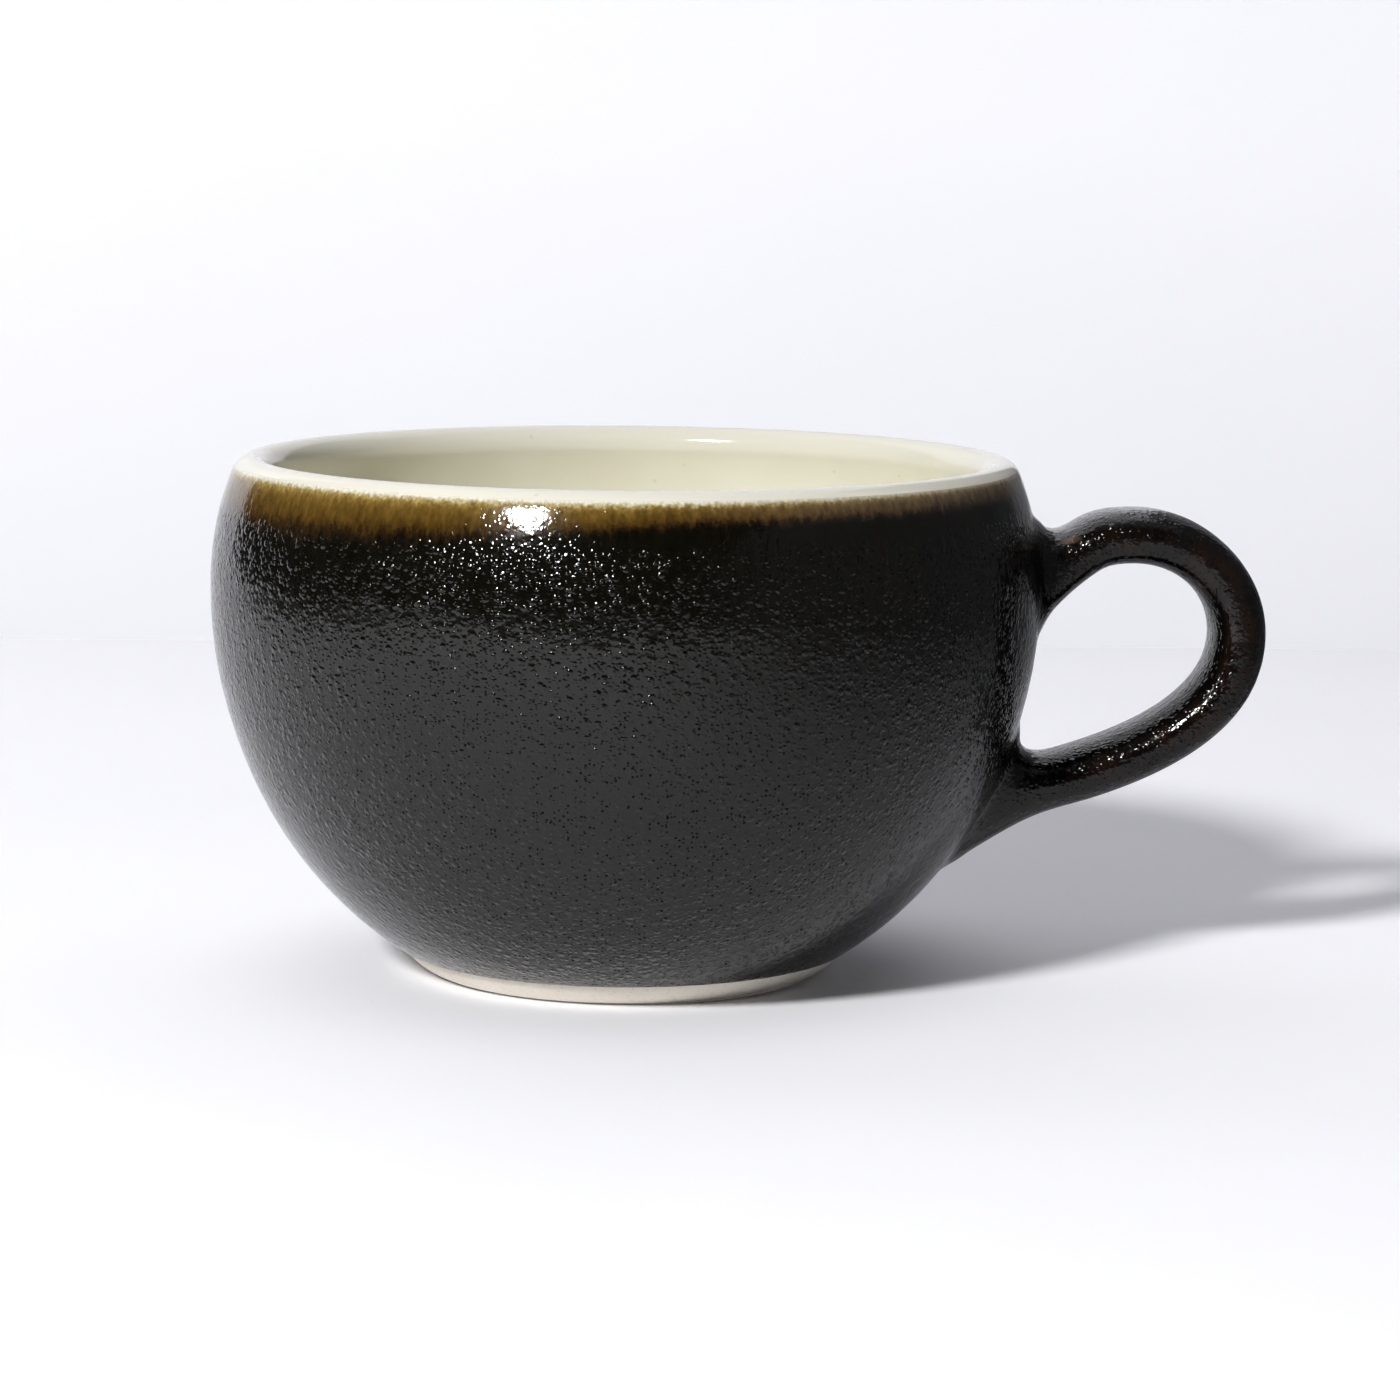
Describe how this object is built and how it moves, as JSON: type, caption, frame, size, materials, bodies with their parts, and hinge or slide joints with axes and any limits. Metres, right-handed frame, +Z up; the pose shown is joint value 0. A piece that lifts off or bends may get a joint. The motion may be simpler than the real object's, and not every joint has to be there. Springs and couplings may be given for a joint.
{
  "type": "soup cup",
  "caption": "Round-bellied stoneware soup cup with a strap handle, dark outer glaze, pale glazed inside and a bare turned foot, for hot soup or drinks.",
  "frame": {"origin": "on the table plane, under the middle of the cup's overall outline, handle included; the bowl's axis stands 15.75 mm from it towards -X", "axes": "+X from the bowl towards the handle, +Y across the handle's strap, +Z up along the bowl's axis"},
  "size_m": [0.1463, 0.115, 0.0717],
  "materials": {
    "bare_stoneware": "fired, unglazed, fine grit",
    "strap_stoneware": "fired, unglazed",
    "upper_slip": "fired slip",
    "lower_slip": "fired slip",
    "liner_glaze": "ivory gloss glaze",
    "outer_glaze": "black glaze, semi-gloss, breaking to brown at the rim and edges"
  },
  "bodies": {
    "root": {"stoneware_bowl": "bare_stoneware", "handle": "strap_stoneware", "upper_slip_joint": "upper_slip", "lower_slip_joint": "lower_slip", "liner_glaze": "liner_glaze", "outer_glaze": "outer_glaze"}
  },
  "joints": []
}
